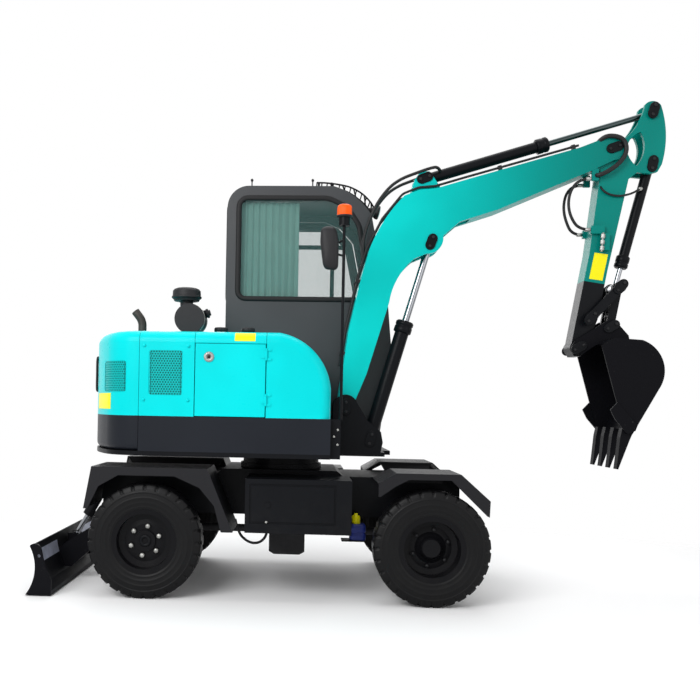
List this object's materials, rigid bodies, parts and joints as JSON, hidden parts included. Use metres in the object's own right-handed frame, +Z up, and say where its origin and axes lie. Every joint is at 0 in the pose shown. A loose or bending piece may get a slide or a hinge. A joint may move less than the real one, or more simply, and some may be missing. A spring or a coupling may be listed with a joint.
{
  "type": "wheeled excavator",
  "caption": "Wheeled excavator with a bent boom beside an offset cab, a dipper arm with a toothed bucket, a dozer blade at the back and steered front wheels.",
  "frame": {"origin": "on the ground, in the middle of the whole machine's box as the picture shows it, with the digging arm raised", "axes": "+X forward, the way the digging arm points, +Y to the machine's left, the cab's side, +Z up"},
  "size_m": [4.6246, 1.8, 3.7264],
  "materials": {
    "beacon_plastic": "clear orange",
    "black_paint": "satin",
    "black_plastic": "grained",
    "blade_steel": "worn edge",
    "cab_glazing": "tinted",
    "cab_paint": "satin",
    "cast_metal": "rough",
    "curtain_fabric": "woven",
    "dark_paint": "satin",
    "exhaust_steel": "heat worn",
    "hose_rubber": "smooth",
    "rod_chrome": "polished",
    "seat_fabric": "woven",
    "turquoise_paint": "gloss",
    "tyre_rubber": "moulded"
  },
  "bodies": {
    "chassis": {"chassis_frame": "black_paint", "rear_axle": "black_paint", "front_axle": "black_paint", "fenders_front": "black_paint", "fenders_rear": "black_paint", "toolboxes": "black_paint", "driveline": "cast_metal", "slew_ring": "black_paint"},
    "knuckle_right": {"knuckle_right": "cast_metal"},
    "knuckle_left": {"knuckle_left": "cast_metal"},
    "track_rod": {"track_rod": "black_paint"},
    "wheel_rear_right": {"tyre_rear_right": "tyre_rubber", "rim_rear_right": "dark_paint"},
    "wheel_rear_left": {"tyre_rear_left": "tyre_rubber", "rim_rear_left": "dark_paint"},
    "wheel_front_right": {"tyre_front_right": "tyre_rubber", "rim_front_right": "dark_paint"},
    "wheel_front_left": {"tyre_front_left": "tyre_rubber", "rim_front_left": "dark_paint"},
    "blade": {"blade": "blade_steel"},
    "blade_cylinder_barrel": {"blade_cylinder_barrel": "black_paint"},
    "blade_cylinder_rod": {"blade_cylinder_rod": "rod_chrome"},
    "upper": {"upper_frame": "black_paint", "boom_bracket": "black_paint", "counterweight": "dark_paint", "skirts": "dark_paint", "engine": "cast_metal", "hood_tail": "turquoise_paint", "hood_grille_side": "turquoise_paint", "hood_middle": "turquoise_paint", "hood_nose": "turquoise_paint", "cab_shell": "cab_paint", "cab_glass": "cab_glazing", "seat": "seat_fabric", "consoles": "black_plastic", "exhaust": "exhaust_steel", "air_cleaner": "black_paint", "filler_caps": "black_paint", "beacon_mast": "black_plastic", "beacon": "beacon_plastic", "mirror": "black_plastic", "roof_guard": "cab_paint", "curtain": "curtain_fabric"},
    "service_door": {"service_door": "turquoise_paint"},
    "cab_door": {"cab_door": "cab_paint", "cab_door_glass": "cab_glazing"},
    "boom": {"boom": "turquoise_paint", "boom_pipes": "hose_rubber", "hose_loops": "hose_rubber"},
    "boom_cylinder_barrel": {"boom_cylinder_barrel": "black_paint"},
    "boom_cylinder_rod": {"boom_cylinder_rod": "rod_chrome"},
    "arm": {"arm": "turquoise_paint"},
    "arm_cylinder_barrel": {"arm_cylinder_barrel": "black_paint"},
    "arm_cylinder_rod": {"arm_cylinder_rod": "rod_chrome"},
    "rocker": {"rocker": "black_paint"},
    "link": {"link": "black_paint"},
    "bucket": {"bucket": "black_paint"},
    "bucket_cylinder_barrel": {"bucket_cylinder_barrel": "black_paint"},
    "bucket_cylinder_rod": {"bucket_cylinder_rod": "rod_chrome"}
  },
  "joints": [
    {"name": "slew", "type": "hinge", "parent": "chassis", "child": "upper", "pos_m": [-0.5343, 0, 0.935], "axis": [0, 0, 1], "continuous": true},
    {"name": "steer_left", "type": "hinge", "parent": "chassis", "child": "knuckle_left", "pos_m": [0.5437, 0.64, 0.405], "axis": [0, 0, 1], "range_deg": [-25, 25]},
    {"name": "steer_right", "type": "hinge", "parent": "chassis", "child": "knuckle_right", "pos_m": [0.5437, -0.64, 0.405], "axis": [0, 0, 1], "range_deg": [-25.01, 25.01]},
    {"name": "track_rod_turn", "type": "hinge", "parent": "knuckle_left", "child": "track_rod", "pos_m": [0.3737, 0.64, 0.343], "axis": [0, 0, 1], "range_deg": [-25.01, 25.01]},
    {"name": "wheel_rear_right_spin", "type": "hinge", "parent": "chassis", "child": "wheel_rear_right", "pos_m": [-1.4723, -0.792, 0.405], "axis": [0, 1, 0], "continuous": true},
    {"name": "wheel_rear_left_spin", "type": "hinge", "parent": "chassis", "child": "wheel_rear_left", "pos_m": [-1.4723, 0.792, 0.405], "axis": [0, 1, 0], "continuous": true},
    {"name": "wheel_front_right_spin", "type": "hinge", "parent": "knuckle_right", "child": "wheel_front_right", "pos_m": [0.5437, -0.792, 0.405], "axis": [0, 1, 0], "continuous": true},
    {"name": "wheel_front_left_spin", "type": "hinge", "parent": "knuckle_left", "child": "wheel_front_left", "pos_m": [0.5437, 0.792, 0.405], "axis": [0, 1, 0], "continuous": true},
    {"name": "boom_lift", "type": "hinge", "parent": "upper", "child": "boom", "pos_m": [-0.0423, -0.2, 1.384], "axis": [0, -1, 0], "range_deg": [-85, 20]},
    {"name": "boom_cylinder_swing", "type": "hinge", "parent": "upper", "child": "boom_cylinder_barrel", "pos_m": [0.1477, -0.2, 1.145], "axis": [0, -1, 0], "range_deg": [-84.16, 19.81]},
    {"name": "boom_cylinder_slide", "type": "slide", "parent": "boom_cylinder_barrel", "child": "boom_cylinder_rod", "axis": [0.2767, 0, 0.961], "range_m": [-0.39694, 0.09348]},
    {"name": "arm_swing", "type": "hinge", "parent": "boom", "child": "arm", "pos_m": [1.9277, -0.2, 3.368], "axis": [0, 1, 0], "range_deg": [-100, 10], "deforming": ["hose_loops"]},
    {"name": "arm_cylinder_swing", "type": "hinge", "parent": "boom", "child": "arm_cylinder_barrel", "pos_m": [0.5287, -0.2, 3.144], "axis": [0, 1, 0], "range_deg": [-8.71, 0.88]},
    {"name": "arm_cylinder_slide", "type": "slide", "parent": "arm_cylinder_barrel", "child": "arm_cylinder_rod", "axis": [0.9573, 0, 0.289], "range_m": [-0.58915, 0.05901]},
    {"name": "bucket_curl", "type": "hinge", "parent": "arm", "child": "bucket", "pos_m": [1.6927, -0.2, 1.864], "axis": [0, -1, 0], "range_deg": [-140, 10]},
    {"name": "rocker_swing", "type": "hinge", "parent": "arm", "child": "rocker", "pos_m": [1.7727, -0.2, 2.087], "axis": [0, -1, 0], "range_deg": [-128.46, 9.19]},
    {"name": "link_swing", "type": "hinge", "parent": "rocker", "child": "link", "pos_m": [1.9827, -0.2, 2.321], "axis": [0, -1, 0], "range_deg": [-6.59, 92.15]},
    {"name": "bucket_cylinder_swing", "type": "hinge", "parent": "arm", "child": "bucket_cylinder_barrel", "pos_m": [2.2187, -0.2, 3.255], "axis": [0, -1, 0], "range_deg": [-0.16, 2.11]},
    {"name": "bucket_cylinder_slide", "type": "slide", "parent": "bucket_cylinder_barrel", "child": "bucket_cylinder_rod", "axis": [-0.245, 0, -0.9695], "range_m": [-0.04045, 0.56503]},
    {"name": "blade_lift", "type": "hinge", "parent": "chassis", "child": "blade", "pos_m": [-1.7743, 0, 0.5], "axis": [0, 1, 0], "range_deg": [-10, 28]},
    {"name": "blade_cylinder_swing", "type": "hinge", "parent": "chassis", "child": "blade_cylinder_barrel", "pos_m": [-1.9293, 0, 0.76], "axis": [0, 1, 0], "range_deg": [-7.56, 21.15]},
    {"name": "blade_cylinder_slide", "type": "slide", "parent": "blade_cylinder_barrel", "child": "blade_cylinder_rod", "axis": [-0.4921, 0, -0.8706], "range_m": [-0.13693, 0.04897]},
    {"name": "cab_door_swing", "type": "hinge", "parent": "upper", "child": "cab_door", "pos_m": [-0.7663, 0.889, 2], "axis": [0, 0, 1], "range_deg": [0, 150]},
    {"name": "service_door_swing", "type": "hinge", "parent": "upper", "child": "service_door", "pos_m": [-0.6318, -0.889, 1.58], "axis": [0, 0, 1], "range_deg": [0, 100]}
  ],
  "couplings": [
    {"joint": "steer_right", "follows": "steer_left", "ratio": 1},
    {"joint": "track_rod_turn", "follows": "steer_left", "ratio": -1},
    {"joint": "boom_cylinder_swing", "follows": "boom_lift", "ratio": 0.99},
    {"joint": "boom_cylinder_slide", "follows": "boom_lift", "m_per_rad": 0.2675},
    {"joint": "arm_cylinder_swing", "follows": "arm_swing", "ratio": 0.087},
    {"joint": "arm_cylinder_slide", "follows": "arm_swing", "m_per_rad": 0.3375},
    {"joint": "rocker_swing", "follows": "bucket_curl", "ratio": 0.9175},
    {"joint": "link_swing", "follows": "bucket_curl", "ratio": -0.65812},
    {"joint": "bucket_cylinder_swing", "follows": "bucket_curl", "ratio": -0.015},
    {"joint": "bucket_cylinder_slide", "follows": "bucket_curl", "m_per_rad": -0.2312},
    {"joint": "blade_cylinder_swing", "follows": "blade_lift", "ratio": 0.755},
    {"joint": "blade_cylinder_slide", "follows": "blade_lift", "m_per_rad": -0.28}
  ]
}
